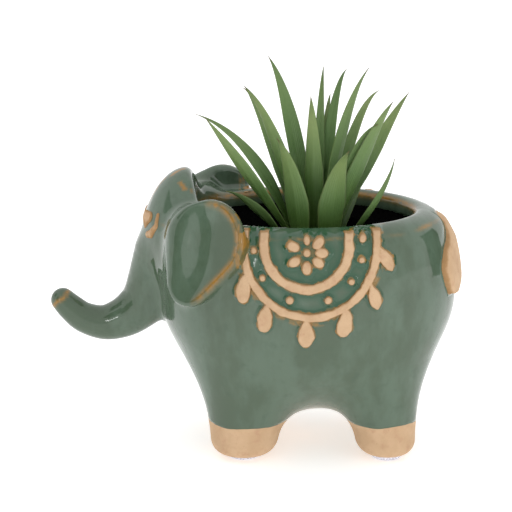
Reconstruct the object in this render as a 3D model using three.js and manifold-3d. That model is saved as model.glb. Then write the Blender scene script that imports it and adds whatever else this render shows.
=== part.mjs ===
// Elephant planter with an artificial succulent.
// A slip-cast ceramic pot in the shape of an elephant, with luted ears and tail, clay relief laid on its flanks,
// bumper pads under its feet, a block of foam wedged in its mouth and a plastic plant pushed into the foam.
// Millimetres. X runs from the trunk (-X) to the tail (+X), Y across (the elephant's left is -Y), Z up.
import * as THREE from 'three';
import { mergeVertices } from 'three/addons/utils/BufferGeometryUtils.js';
import Module from 'manifold-3d';

const wasm = await Module();
wasm.setup();

// ---- driving dimensions ----
const GAP = 0.3;                // left between two solids that touch on the real object
const RIM_Z = 104.8;            // crest of the pot's rim
const WALL = 5.3;               // thickness of the casting
const FLOOR_Z = 14;             // inside floor of the pot
const TORSO = { centre: [22.5, 0, 70], radii: [64.5, 54], below: 54.5, above: 72 };
const MOUTH = { x: 20.5, halfLength: 47.5, halfWidth: 37.5, bottom: 80 };
const HEAD = { centre: [-33.3, 0, 95.5], radii: [15.6, 21, 26.6], lean: 12 };
// trunk: centre line and radius, from inside the face to the tip
const TRUNK = [[-39.5, 82, 13.8], [-46.6, 65, 11.2], [-52, 58.6, 9.9], [-58.5, 54.3, 8.8], [-66.5, 52.2, 7.6],
  [-75, 54.3, 6.7], [-80.7, 58.6, 6], [-84.4, 62.3, 5.3]];
const TRUNK_STEPS = 20;
const LEG = { footZ: 2, hipZ: 44, topZ: 56, edge: 6 };
const FRONT_LEG = { foot: [-4.7, 26], footRadius: 14.2, hip: [-2, 19], hipRadius: 21.5 };
const REAR_LEG = { foot: [57, 26], footRadius: 12.6, hip: [52, 19], hipRadius: 19 };
const EAR = { centre: [-18.3, 39, 96], facing: [-0.543, 0.808, 0.229], top: 17.2, topRise: 2.5, lobe: 10,
  lobeAt: [-6, -16], dish: 0.004, sink: 0.6, thickness: 4.8 };
const PAD = { radius: 6.35, height: 1.7, bevel: 0.5 };
const FOAM = { halfLength: 45.8, halfWidth: 35.8, top: 99, bottom: 62, taper: 3 };
const PLANT = { x: 26, y: -10, base: 92 };
const WELL = { topRadius: 22.5, bottomRadius: 14, bottom: 88 };
const RELIEF_HEIGHT = 1;
const INNER_BAND = { x: 21.8, z: 99.2, radius: 17.5, half: 2.1, top: 103 };
const OUTER_BAND = { x: 23.3, z: 97.3, radius: 27.4, half: 1.9, top: 103 };
// drops: where each neck leaves the outer band, and which way it hangs, in degrees
const DROPS = { hang: [[3, -64], [-29, -75], [-58, -97], [-93, -91], [-128, -99], [-158, -98]], neck: 28,
  length: 12.4, half: 3.2 };
const FLOWER = { x: 21.7, z: 96, angles: [90, 39, 0, -39, -90, -145, 157], petalFrom: 1, petalTo: 7.8, half: 2 };
// tail: across (Y), height (Z) and half width of the laid-on strip, from the rim down to the tuft's tip
const TAIL = [[0, 102.5, 4.5], [-0.5, 98, 6], [-3, 94.5, 8], [-6, 91, 11.5], [-9, 86, 13.4], [-11, 80, 12.6],
  [-13.5, 75, 8.5], [-16.5, 71, 3]];
const TAIL_HEIGHT = 2.8;
const LEAF_THICKNESS = 0.9;
// whorls of the crown: radius at which the leaves stand and height of the step under them
const WHORLS = { a: [3, 92], b: [5.5, 91], c: [8.5, 90], d: [11.5, 89] };
// leaves: whorl, azimuth, reach and rise of the tip, reach and rise of the bend, width, twist (degrees)
const LEAVES = [
  ['c', 169, 53, 53, 25, 45, 6.5, -50], ['c', -155, 51, 57, 40, 44, 8, 40], ['d', -162, 40, 24, 29, 22, 7.5, 40],
  ['b', 150, 36, 64, 23, 53, 10, -35], ['b', -159, 33, 68, 19, 58, 8, 40], ['a', 154, 23, 78, 12, 64, 9.5, -30],
  ['d', -125, 29, 49, 15, 35, 11.5, 12], ['a', -101, 14, 65, 7, 50, 8.4, 0], ['a', 80, 18, 73, 8, 62, 4.8, 0],
  ['b', 69, 17, 61, 11, 56, 5.2, 0], ['a', 57, 24, 71, 11, 66, 6, 15], ['a', -20, 23, 76, 11, 60, 7.5, -35],
  ['b', 41, 36, 61, 22, 58, 6.5, 20], ['c', -38, 32, 54, 19, 50, 7, -25], ['b', -35, 38, 64, 29, 54, 8.5, -30],
  ['b', 11, 40, 63, 30, 50, 9, 40], ['d', -32, 38, 40, 35, 24, 4.5, -30], ['d', -63, 29, 44, 15, 34, 13, -5],
  ['d', 112, 26, 38, 18, 28, 9, 0], ['d', 82, 32, 42, 20, 34, 9, 0], ['d', 40, 34, 34, 24, 26, 8, 0]];

const BODY_CELL = 5.4;            // grid of the casting's outer surface
const CAVITY_CELL = 9;            // grid of its inner surface
const BAND_STEP = 12;             // degrees between stations of a band

// ---- materials ----
const material = (color, roughness) => new THREE.MeshStandardMaterial({ color, roughness, metalness: 0 });
const GLAZE = material(0x5f7f69, 0.12);
const CLAY = material(0xd9b48c, 0.75);
const RUBBER = material(0xdfe4e4, 0.25);
const BLACK_FOAM = material(0x141412, 0.95);
const LEAF = material(0x5f8246, 0.5);
const STEM = material(0x3f5a2c, 0.6);

// ---- solid shapes as distance fields: negative inside, about the distance in millimetres ----
const clamp = (t) => Math.min(Math.max(t, 0), 1);
const radians = (degrees) => degrees * Math.PI / 180;

// the lower of two distances, with a fillet of about k where they meet
function blend(a, b, k) {
  const h = Math.max(k - Math.abs(a - b), 0) / k;
  return Math.min(a, b) - h * h * k / 4;
}
const cutAway = (a, b, k) => -blend(-a, -b, k);

function ellipsoid(x, y, z, rx, ry, rz) {
  const k0 = Math.hypot(x / rx, y / ry, z / rz);
  const k1 = Math.hypot(x / rx ** 2, y / ry ** 2, z / rz ** 2);
  return k0 * (k0 - 1) / Math.max(k1, 1e-9);
}

function torsoField(x, y, z, shrink) {
  const [cx, cy, cz] = TORSO.centre;
  const [rx, ry] = TORSO.radii;
  const rz = z > cz ? TORSO.above : TORSO.below;
  return ellipsoid(x - cx, y - cy, z - cz, rx - shrink, ry - shrink, rz - shrink);
}

// distance to a box-edged block whose side is `side` away and whose end is `end` away, with rounded edges
function rounded(side, end, edge) {
  const a = side + edge;
  const b = end + edge;
  return Math.min(Math.max(a, b), 0) + Math.hypot(Math.max(a, 0), Math.max(b, 0)) - edge;
}

function legField(x, y, z, leg) {
  const t = clamp((z - LEG.footZ) / (LEG.hipZ - LEG.footZ));
  const cx = leg.foot[0] + (leg.hip[0] - leg.foot[0]) * t;
  const cy = leg.foot[1] + (leg.hip[1] - leg.foot[1]) * t;
  const radius = leg.footRadius + (leg.hipRadius - leg.footRadius) * t * t * (3 - 2 * t);
  return rounded(Math.hypot(x - cx, y - cy) - radius, Math.max(LEG.footZ - z, z - LEG.topZ), LEG.edge);
}

const trunkCurve = new THREE.CatmullRomCurve3(TRUNK.map(([x, z, r]) => new THREE.Vector3(x, r, z)));
const trunkPath = trunkCurve.getPoints(TRUNK_STEPS).map((p) => ({ x: p.x, z: p.z, radius: p.y }));

function trunkField(x, y, z) {
  let best = Infinity;
  for (let i = 1; i < trunkPath.length; i++) {
    const a = trunkPath[i - 1];
    const b = trunkPath[i];
    const dx = b.x - a.x;
    const dz = b.z - a.z;
    const t = clamp(((x - a.x) * dx + (z - a.z) * dz) / (dx * dx + dz * dz));
    const reach = Math.hypot(x - a.x - t * dx, y, z - a.z - t * dz);
    best = Math.min(best, reach - a.radius - (b.radius - a.radius) * t);
  }
  return best;
}

function headField(x, y, z) {
  const lean = radians(HEAD.lean);
  const dx = x - HEAD.centre[0];
  const dz = z - HEAD.centre[2];
  const along = dx * Math.cos(lean) - dz * Math.sin(lean);
  const up = dx * Math.sin(lean) + dz * Math.cos(lean);
  return blend(ellipsoid(along, y, up, ...HEAD.radii), trunkField(x, y, z), 5);
}

// the casting as a full solid: torso, four legs, head and trunk
function castingField(x, y, z) {
  const side = Math.abs(y);
  const torso = cutAway(torsoField(x, y, z, 0), z - RIM_Z, 8);
  const legs = Math.min(legField(x, side, z, FRONT_LEG), legField(x, side, z, REAR_LEG));
  return blend(blend(torso, legs, 14), headField(x, y, z), 5);
}

// the hollow inside the casting and its open mouth
function hollowField(x, y, z) {
  let inside = cutAway(torsoField(x, y, z, WALL), z - (RIM_Z - 9), 6);
  inside = cutAway(inside, FLOOR_Z - z, 6);
  const reach = Math.hypot((x - MOUTH.x) / MOUTH.halfLength, y / MOUTH.halfWidth);
  const mouth = Math.max((reach - 1) * MOUTH.halfWidth, MOUTH.bottom - z, z - RIM_Z - 10);
  return blend(inside, mouth, 4);
}

// ---- meshes ----
function slope(field, p) {
  const e = 0.05;
  const dx = field(p.x + e, p.y, p.z) - field(p.x - e, p.y, p.z);
  const dy = field(p.x, p.y + e, p.z) - field(p.x, p.y - e, p.z);
  const dz = field(p.x, p.y, p.z + e) - field(p.x, p.y, p.z - e);
  return new THREE.Vector3(dx, dy, dz).divideScalar(2 * e);
}

// moves a point onto the surface where the field is zero
function settle(field, p) {
  for (let i = 0; i < 4; i++) {
    const g = slope(field, p);
    p.addScaledVector(g, -field(p.x, p.y, p.z) / Math.max(g.lengthSq(), 1e-6));
  }
  return p;
}

function geometryOf(points, faces) {
  const geometry = new THREE.BufferGeometry();
  geometry.setAttribute('position', new THREE.Float32BufferAttribute(points.flatMap((p) => [p.x, p.y, p.z]), 3));
  geometry.setIndex(faces.flat());
  return geometry;
}

function volumeOf(points, faces) {
  return faces.reduce((sum, [a, b, c]) => sum + points[a].dot(points[b].clone().cross(points[c])), 0) / 6;
}

const outward = (points, faces) => (volumeOf(points, faces) < 0 ? faces.map(([a, b, c]) => [a, c, b]) : faces);

// Closed mesh of the surface where the field is zero: one point in each grid cell that the surface crosses,
// and one quad for each grid edge that it crosses.
function skin(field, low, high, cell) {
  const count = low.map((v, axis) => Math.ceil((high[axis] - v) / cell) + 1);
  const step = [1, count[0], count[0] * count[1]];
  const corner = (i, j, k) => new THREE.Vector3(low[0] + i * cell, low[1] + j * cell, low[2] + k * cell);
  const value = new Float64Array(count[0] * count[1] * count[2]);
  for (let k = 0; k < count[2]; k++) {
    for (let j = 0; j < count[1]; j++) {
      for (let i = 0; i < count[0]; i++) {
        const p = corner(i, j, k);
        value[i + j * step[1] + k * step[2]] = field(p.x, p.y, p.z);
      }
    }
  }
  const points = [];
  const pointOf = new Map();
  const cellPoint = (id) => {
    if (!pointOf.has(id)) {
      const at = [id % step[1], Math.floor(id / step[1]) % count[1], Math.floor(id / step[2])];
      const sum = new THREE.Vector3();
      let crossings = 0;
      for (let axis = 0; axis < 3; axis++) {
        for (let n = 0; n < 4; n++) {
          const start = [...at];
          start[(axis + 1) % 3] += n & 1;
          start[(axis + 2) % 3] += n >> 1;
          const from = start[0] + start[1] * step[1] + start[2] * step[2];
          const a = value[from];
          const b = value[from + step[axis]];
          if ((a < 0) === (b < 0)) continue;
          start[axis] += a / (a - b);
          sum.add(corner(...start));
          crossings++;
        }
      }
      pointOf.set(id, points.length);
      points.push(settle(field, sum.divideScalar(crossings)));
    }
    return pointOf.get(id);
  };
  const faces = [];
  for (let id = 0; id < value.length; id++) {
    for (let axis = 0; axis < 3; axis++) {
      const next = id + step[axis];
      const place = [id % step[1], Math.floor(id / step[1]) % count[1], Math.floor(id / step[2])];
      if (place[axis] + 1 >= count[axis] || (value[id] < 0) === (value[next] < 0)) continue;
      const b = step[(axis + 1) % 3];
      const c = step[(axis + 2) % 3];
      const quad = [id, id - b, id - b - c, id - c].map(cellPoint);
      if (value[id] >= 0) quad.reverse();
      const shortFirst = points[quad[0]].distanceTo(points[quad[2]]) < points[quad[1]].distanceTo(points[quad[3]]);
      const [p, q, r, s] = shortFirst ? quad : [quad[1], quad[2], quad[3], quad[0]];
      faces.push([p, q, r], [p, r, s]);
    }
  }
  return geometryOf(points, faces);
}

// closed mesh through rings of points, capped at both ends
function loft(rings) {
  const points = rings.flat();
  const size = rings[0].length;
  const faces = [];
  for (let i = 1; i < rings.length; i++) {
    for (let j = 0; j < size; j++) {
      const next = (j + 1) % size;
      const a = (i - 1) * size;
      const b = i * size;
      faces.push([a + j, a + next, b + next], [a + j, b + next, b + j]);
    }
  }
  const last = (rings.length - 1) * size;
  for (let j = 1; j < size - 1; j++) {
    faces.push([0, j + 1, j], [last, last + j, last + j + 1]);
  }
  return geometryOf(points, outward(points, faces));
}

function solid(geometry) {
  const bare = geometry.clone();
  bare.deleteAttribute('normal');
  bare.deleteAttribute('uv');
  const merged = mergeVertices(bare, 1e-4);
  return new wasm.Manifold(new wasm.Mesh({
    numProp: 3,
    vertProperties: new Float32Array(merged.attributes.position.array),
    triVerts: new Uint32Array(merged.index.array),
  }));
}

// the largest separate body of a solid, as a geometry
function largestBody(manifold) {
  const bodies = manifold.decompose();
  const volumes = bodies.map((body) => body.volume());
  const mesh = bodies[volumes.indexOf(Math.max(...volumes))].getMesh();
  const geometry = new THREE.BufferGeometry();
  geometry.setAttribute('position', new THREE.BufferAttribute(new Float32Array(mesh.vertProperties), 3));
  geometry.setIndex([...mesh.triVerts]);
  return geometry;
}

const planter = new THREE.Group();

function part(name, geometry, finish) {
  const mesh = new THREE.Mesh(geometry, finish.clone());
  mesh.name = name;
  planter.add(mesh);
  return mesh;
}

// ---- ceramic casting ----
const castingLow = [-96, -62, -4];
const castingHigh = [96, 62, 128];
const hollow = solid(skin(hollowField, [-45, -55, 8], [90, 55, 122], CAVITY_CELL));
part('planter_body', largestBody(solid(skin(castingField, castingLow, castingHigh, BODY_CELL)).subtract(hollow)), GLAZE);

// the casting grown by the gap: what an applied piece is cut back to
const grownField = (x, y, z) => castingField(x, y, z) - GAP;
const grownCasting = solid(skin(grownField, castingLow, castingHigh, BODY_CELL));

// ---- ears: dished plates luted to the sides of the head ----
// radius of the ear's outline, seen face on, in the direction `angle` from its middle
function earRadius(angle) {
  const away = new THREE.Vector2(Math.cos(angle), Math.sin(angle));
  const lobe = new THREE.Vector2(EAR.lobeAt[0], EAR.lobeAt[1]);
  const towards = Math.max(away.dot(lobe.clone().normalize()), 0);
  return EAR.top + (lobe.length() + EAR.lobe - EAR.top) * towards ** 3;
}

function earGeometry(side) {
  const normal = new THREE.Vector3(EAR.facing[0], side * EAR.facing[1], EAR.facing[2]).normalize();
  const up = new THREE.Vector3(0, 0, 1).projectOnPlane(normal).normalize();
  const along = up.clone().cross(normal).multiplyScalar(-side);
  const middle = new THREE.Vector3(EAR.centre[0], side * EAR.centre[1], EAR.centre[2]);
  const geometry = mergeVertices(new THREE.SphereGeometry(1, 24, 10).deleteAttribute('normal').deleteAttribute('uv'));
  const position = geometry.attributes.position;
  for (let i = 0; i < position.count; i++) {
    const angle = Math.atan2(position.getZ(i), position.getX(i));
    const reach = Math.hypot(position.getX(i), position.getZ(i)) * earRadius(angle);
    const a = Math.cos(angle) * reach;
    const b = Math.sin(angle) * reach + EAR.topRise;
    const out = position.getY(i) * EAR.thickness / 2 + (a * a + b * b) * EAR.dish - EAR.sink;
    const p = middle.clone().addScaledVector(along, a).addScaledVector(up, b).addScaledVector(normal, out);
    position.setXYZ(i, p.x, p.y, p.z);
  }
  const points = [];
  for (let i = 0; i < position.count; i++) points.push(new THREE.Vector3().fromBufferAttribute(position, i));
  const faces = [];
  for (let i = 0; i < geometry.index.count; i += 3) faces.push([0, 1, 2].map((n) => geometry.index.getX(i + n)));
  return geometryOf(points, outward(points, faces));
}

part('ear_left', largestBody(solid(earGeometry(-1)).subtract(grownCasting)), GLAZE);
part('ear_right', largestBody(solid(earGeometry(1)).subtract(grownCasting)), GLAZE);

// ---- clay relief: strips laid on the casting ----
// where a line from inside the casting leaves it, going along `direction` from `start`
function surfaceFrom(start, direction) {
  let inside = 0;
  let outside = 120;
  for (let i = 0; i < 40; i++) {
    const middle = (inside + outside) / 2;
    const p = start.clone().addScaledVector(direction, middle);
    if (castingField(p.x, p.y, p.z) < 0) inside = middle;
    else outside = middle;
  }
  const point = start.clone().addScaledVector(direction, inside);
  return { point, normal: slope(castingField, point).normalize() };
}

const flank = (side) => (x, z) => surfaceFrom(new THREE.Vector3(x, 0, z), new THREE.Vector3(0, side, 0));
const rump = (y, z) => surfaceFrom(new THREE.Vector3(TORSO.centre[0], y, z), new THREE.Vector3(1, 0, 0));

const STRIP_SECTION = [[-1, 0.25], [-0.5, 1], [0.5, 1], [1, 0.25]];
const SUNK = [[1, -1.5], [-1, -1.5]];

// a rounded strip along stations { at, across, half } on the surface that `place` gives; it starts under the
// surface and is cut back to the casting afterwards
function strip(stations, place, height) {
  return solid(loft(stations.map(({ at, across, half }) => {
    const lift = ([s, rise]) => {
      const { point, normal } = place(at[0] + across[0] * half * s, at[1] + across[1] * half * s);
      return point.addScaledVector(normal, rise);
    };
    return [...STRIP_SECTION.map(([s, h]) => lift([s, GAP + height * h])), ...SUNK.map(lift)];
  })));
}

const laidOn = (strips) => largestBody(strips.reduce((sum, next) => sum.add(next)).subtract(grownCasting));

// a band that hangs from the rim in a U: straight down, round a half circle and straight up
function bandStations({ x, z, radius, half, top }) {
  const stations = [{ at: [x - radius, top], across: [-1, 0], half }];
  for (let angle = 180; angle <= 360; angle += BAND_STEP) {
    const c = Math.cos(radians(angle));
    const s = Math.sin(radians(angle));
    stations.push({ at: [x + c * radius, z + s * radius], across: [c, s], half });
  }
  stations.push({ at: [x + radius, top], across: [1, 0], half });
  return stations;
}

// a petal or drop that points away from (x, z), widest two thirds of the way out
function petalStations(x, z, angle, from, to, half) {
  const c = Math.cos(radians(angle));
  const s = Math.sin(radians(angle));
  return [0, 0.35, 0.7, 0.92, 1].map((t) => {
    const reach = from + (to - from) * t;
    const swell = 0.3 + 0.7 * Math.sin(Math.PI * Math.min(t / 0.66, 1) / 2);
    const close = t > 0.66 ? Math.sqrt(Math.max(1 - ((t - 0.66) / 0.36) ** 2, 0.04)) : 1;
    return { at: [x + c * reach, z + s * reach], across: [-s, c], half: half * swell * close };
  });
}

function dropStations(angle, lean) {
  const x = OUTER_BAND.x + Math.cos(radians(angle)) * DROPS.neck;
  const z = OUTER_BAND.z + Math.sin(radians(angle)) * DROPS.neck;
  return petalStations(x, z, lean, 0, DROPS.length, DROPS.half);
}

for (const [label, side] of [['left', -1], ['right', 1]]) {
  const place = flank(side);
  const drops = DROPS.hang.map(([angle, lean]) => strip(dropStations(angle, lean), place, RELIEF_HEIGHT));
  const petals = FLOWER.angles.map((angle) => strip(
    petalStations(FLOWER.x, FLOWER.z, angle, FLOWER.petalFrom, FLOWER.petalTo, FLOWER.half), place, RELIEF_HEIGHT));
  const fringe = strip(bandStations(OUTER_BAND), place, RELIEF_HEIGHT);
  part(`saddle_inner_band_${label}`, laidOn([strip(bandStations(INNER_BAND), place, RELIEF_HEIGHT)]), CLAY);
  part(`saddle_fringe_band_${label}`, laidOn([fringe, ...drops]), CLAY);
  part(`saddle_flower_${label}`, laidOn(petals), CLAY);
}

const tailStations = TAIL.map(([y, z, half]) => ({ at: [y, z], across: [1, 0], half }));
part('tail', laidOn([strip(tailStations, rump, TAIL_HEIGHT)]), CLAY);

// ---- bumper pads stuck under the feet ----
function padGeometry() {
  const { radius, height, bevel } = PAD;
  const profile = [[0, 0], [radius - bevel, 0], [radius, bevel], [radius, height], [0, height]];
  return new THREE.LatheGeometry(profile.map(([r, z]) => new THREE.Vector2(r, z)), 20).rotateX(Math.PI / 2);
}

for (const [row, leg] of [['front', FRONT_LEG], ['rear', REAR_LEG]]) {
  for (const [label, side] of [['left', -1], ['right', 1]]) {
    part(`bumper_pad_${row}_${label}`, padGeometry(), RUBBER).position.set(leg.foot[0], side * leg.foot[1], 0);
  }
}

// ---- foam block wedged in the mouth, with a well for the plant ----
function turned(profile, segments) {
  return new THREE.LatheGeometry(profile.map(([r, z]) => new THREE.Vector2(r, z)), segments).rotateX(Math.PI / 2);
}

const foamBlock = turned([[0, FOAM.bottom], [1 - FOAM.taper / FOAM.halfWidth, FOAM.bottom], [1, FOAM.top - 2],
  [1 - 1 / FOAM.halfWidth, FOAM.top], [0, FOAM.top]], 40)
  .scale(FOAM.halfLength, FOAM.halfWidth, 1).translate(MOUTH.x, 0, 0);
const well = turned([[0, WELL.bottom], [WELL.bottomRadius, WELL.bottom], [WELL.topRadius, FOAM.top + 1],
  [0, FOAM.top + 1]], 32).translate(PLANT.x, PLANT.y, 0);
part('foam_block', largestBody(solid(foamBlock).subtract(solid(well))), BLACK_FOAM);

// ---- succulent: a stepped crown and its leaves ----
const crownProfile = [[0, WELL.bottom + GAP]];
for (const [radius, step] of [WHORLS.d, WHORLS.c, WHORLS.b, WHORLS.a]) {
  const above = crownProfile[crownProfile.length - 1][1];
  crownProfile.push([radius + 1, above], [radius + 1, step - GAP]);
}
crownProfile.push([0, WHORLS.a[1] - GAP]);
part('plant_crown', turned(crownProfile, 24).translate(PLANT.x, PLANT.y, 0), STEM);

// width of a leaf along its length: narrow at the crown, widest a third of the way up, sharp at the tip
function leafWidth(t) {
  const rise = 0.45 + 0.55 * Math.sin(Math.PI / 2 * Math.min(t / 0.34, 1));
  const fall = 1 - (Math.max(t - 0.34, 0) / 0.66) ** 1.4;
  return rise * Math.max(fall, 0.04);
}

const LEAF_SECTION = [[-1, 0], [-0.45, 1], [0.45, 1], [1, 0], [0.45, -1], [-0.45, -1]];
const LEAF_STATIONS = 9;

// a channelled blade that rises from its whorl, bends outwards and twists a little; `grow` fattens it all round
function leafGeometry([whorl, azimuth, reach, rise, bendReach, bendRise, width, twist], grow) {
  const angle = radians(azimuth);
  const away = new THREE.Vector3(Math.cos(angle), Math.sin(angle), 0);
  const across = new THREE.Vector3(-Math.sin(angle), Math.cos(angle), 0);
  const [radius, step] = WHORLS[whorl];
  const from = (r, z) => new THREE.Vector3(PLANT.x, PLANT.y, z).addScaledVector(away, r);
  const spine = new THREE.QuadraticBezierCurve3(
    from(radius, step), from(bendReach, PLANT.base + bendRise), from(reach, PLANT.base + rise));
  const rings = [];
  for (let i = 0; i <= LEAF_STATIONS; i++) {
    const t = i / LEAF_STATIONS;
    const normal = spine.getTangent(t).cross(across).normalize();
    const turn = radians(twist) * clamp(2 * t);
    const side = across.clone().multiplyScalar(Math.cos(turn)).addScaledVector(normal, Math.sin(turn));
    const face = normal.clone().multiplyScalar(Math.cos(turn)).addScaledVector(across, -Math.sin(turn));
    const half = width / 2 * leafWidth(t) + grow;
    const thick = LEAF_THICKNESS / 2 * (1 - 0.6 * t) + grow;
    rings.push(LEAF_SECTION.map(([s, h]) => spine.getPoint(t)
      .addScaledVector(side, s * half).addScaledVector(face, h * thick + 0.18 * half * (s * s - 0.3))));
  }
  return loft(rings);
}

const standing = [];
LEAVES.forEach((leaf, index) => {
  const clear = standing.reduce((left, other) => left.subtract(other), solid(leafGeometry(leaf, 0)));
  standing.push(solid(leafGeometry(leaf, GAP)));
  part(`leaf_${String(index + 1).padStart(2, '0')}`, largestBody(clear), LEAF);
});

export default planter;
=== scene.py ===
"""Elephant planter: a glazed ceramic pot with bare clay relief, holding an artificial succulent in foam.

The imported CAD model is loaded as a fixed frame, and fine pieces below stand for the CAD nodes they replace.
Shapes are worked out in millimetres, from the CAD's driving dimensions with finer relief, ears and tail, and
scaled to metres when a mesh is made. X runs from the trunk (-X) to the tail (+X), the elephant's left is -Y,
and Z is up.
"""
import math

import bpy
import numpy as np
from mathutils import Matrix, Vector


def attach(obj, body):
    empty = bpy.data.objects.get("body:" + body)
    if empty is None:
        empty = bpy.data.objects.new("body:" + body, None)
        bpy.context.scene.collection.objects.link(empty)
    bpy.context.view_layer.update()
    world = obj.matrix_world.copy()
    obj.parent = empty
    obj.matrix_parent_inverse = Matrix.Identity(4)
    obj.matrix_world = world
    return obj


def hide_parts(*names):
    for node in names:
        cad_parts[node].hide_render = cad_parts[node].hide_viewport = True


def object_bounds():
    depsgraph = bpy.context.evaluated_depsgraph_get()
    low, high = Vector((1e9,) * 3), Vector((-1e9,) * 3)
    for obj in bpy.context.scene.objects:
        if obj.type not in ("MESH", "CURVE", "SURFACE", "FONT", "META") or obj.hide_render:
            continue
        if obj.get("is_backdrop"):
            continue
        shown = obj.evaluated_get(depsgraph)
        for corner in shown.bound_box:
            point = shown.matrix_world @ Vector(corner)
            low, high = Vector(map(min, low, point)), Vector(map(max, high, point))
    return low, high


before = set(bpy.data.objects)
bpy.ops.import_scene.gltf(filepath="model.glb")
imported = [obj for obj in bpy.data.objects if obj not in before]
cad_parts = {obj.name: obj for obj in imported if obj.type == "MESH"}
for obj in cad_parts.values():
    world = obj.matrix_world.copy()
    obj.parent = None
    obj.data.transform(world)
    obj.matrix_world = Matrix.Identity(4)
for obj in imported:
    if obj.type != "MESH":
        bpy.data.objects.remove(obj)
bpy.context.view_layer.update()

MM = 0.001

# ---- driving dimensions, in millimetres ----
RIM_Z = 104.8
RIM_EDGE = 8
WALL = 5.3
FLOOR_Z = 14
LIP = 4
TORSO_CENTRE, TORSO_RADII, TORSO_BELOW, TORSO_ABOVE = (22.5, 0, 70), (64.5, 54), 54.5, 72
MOUTH = {"x": 20.5, "half_length": 47.5, "half_width": 37.5, "bottom": 80}
HEAD_CENTRE, HEAD_RADII, HEAD_LEAN = (-33.3, 0, 95.5), (15.6, 21, 26.6), 12
# trunk: x, z and radius of its centre line, from inside the face to the tip
TRUNK = [(-39.5, 82, 13.8), (-46.6, 65, 11.2), (-52, 58.6, 9.9), (-58.5, 54.3, 8.8), (-66.5, 52.2, 7.6),
         (-75, 54.3, 6.7), (-80.7, 58.6, 6), (-84.4, 62.3, 5.3)]
LEG = {"foot_z": 2, "hip_z": 44, "top_z": 56, "edge": 6}
FRONT_LEG = {"foot": (-4.7, 26), "foot_radius": 14.2, "hip": (-2, 19), "hip_radius": 21.5}
REAR_LEG = {"foot": (57, 26), "foot_radius": 12.6, "hip": (52, 19), "hip_radius": 19}
EAR = {"centre": (-18.3, 39, 96), "facing": (-0.543, 0.808, 0.229), "top": 17.2, "top_rise": 2.5,
       "lobe": 10, "lobe_at": (-6, -16), "dish": 0.004, "sink": 0.6, "thickness": 4.8}
PAD = {"radius": 6.35, "height": 1.7, "edge": 0.9, "top_edge": 0.15}
FOAM = {"half_length": 45.8, "half_width": 35.8, "top": 99, "bottom": 62, "taper": 3}
PLANT = {"x": 26, "y": -10, "base": 92}
WELL = {"top_radius": 22.5, "bottom_radius": 14, "bottom": 88}
RELIEF_HEIGHT = 1.2
RELIEF_SUNK = 1
RELIEF_EDGE = 1
INNER_BAND = {"x": 21.8, "z": 99.2, "radius": 17.5, "half": 2, "top": 103.9}
OUTER_BAND = {"x": 23.3, "z": 97.3, "radius": 27.4, "half": 1.8, "top": 103.9}
# drops: where each neck leaves the outer band and which way it hangs, in degrees, its half width and how
# pointed its tip is
DROPS = {"hang": ((1, -62, 2.5, 0.8), (-29, -75, 2.7, 0.8), (-58, -97, 3.4, 0.5), (-93, -91, 3.4, 0.5),
                  (-128, -99, 3.3, 0.5), (-158, -98, 3.2, 0.5)), "neck": 28.6, "length": 12}
DOTS = {"x": 22.5, "z": 98.5, "angles": (-175, -146, -109, -69, -38, -14, 7), "reach": 22.7, "radius": 1.5}
# flower: each petal's direction, and the reach, half length and half width of its oval
FLOWER = {"x": 21.9, "z": 96.4, "petals": ((90, 4.9, 2, 1.5), *((angle, 6.1, 2.8, 2) for angle in
                                           (39, 0, -39, -90, -145, 157))), "core": 1.6}
TAIL = [(0, 102.5, 4.5), (-0.5, 98, 6), (-3, 94.5, 8), (-6, 91, 11.5), (-9, 86, 13.4), (-11, 80, 12.6),
        (-13.5, 75, 8.5), (-16.5, 71, 3)]
TAIL_HEIGHT = 2.8
TAIL_EDGE = 2
TAIL_SINKS = {"full": 92, "gone": 102, "thinnest": 0.2}     # the tail thins out into the shoulder
EAR_FILLET = {"back": 5, "front": 12, "from": 2, "run": 16}
LEG_FILLET = 14
HEAD_FILLET = 5
CHEEK = {"centre": (-26.5, 20.5, 89.5), "radii": (11.5, 12, 19), "fillet": 11}
GLAZE_LINE = 16.4

BODY_CELL = 1.15
RELIEF_CELL = 0.45
TAIL_CELL = 0.6
FAR = 9      # distances past this make no difference to the glaze


# ---- solid shapes as distance fields: negative inside, about the distance in millimetres ----
def blend(a, b, k):
    """The lower of two distances, with a fillet of about k where they meet."""
    h = np.maximum(k - np.abs(a - b), 0) / k
    return np.minimum(a, b) - h * h * k / 4


def cut_away(a, b, k):
    return -blend(-a, -b, k)


def ellipsoid(x, y, z, rx, ry, rz):
    k0 = np.sqrt((x / rx) ** 2 + (y / ry) ** 2 + (z / rz) ** 2)
    k1 = np.sqrt((x / rx ** 2) ** 2 + (y / ry ** 2) ** 2 + (z / rz ** 2) ** 2)
    return k0 * (k0 - 1) / np.maximum(k1, 1e-9)


def rounded(side, end, edge):
    """Distance to a block whose side is `side` away and whose end is `end` away, with rounded edges."""
    a, b = side + edge, end + edge
    return np.minimum(np.maximum(a, b), 0) + np.hypot(np.maximum(a, 0), np.maximum(b, 0)) - edge


def torso_field(x, y, z, shrink=0.0):
    rz = np.where(z > TORSO_CENTRE[2], TORSO_ABOVE, TORSO_BELOW) - shrink
    rx, ry = TORSO_RADII[0] - shrink, TORSO_RADII[1] - shrink
    return ellipsoid(x - TORSO_CENTRE[0], y, z - TORSO_CENTRE[2], rx, ry, rz)


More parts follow.
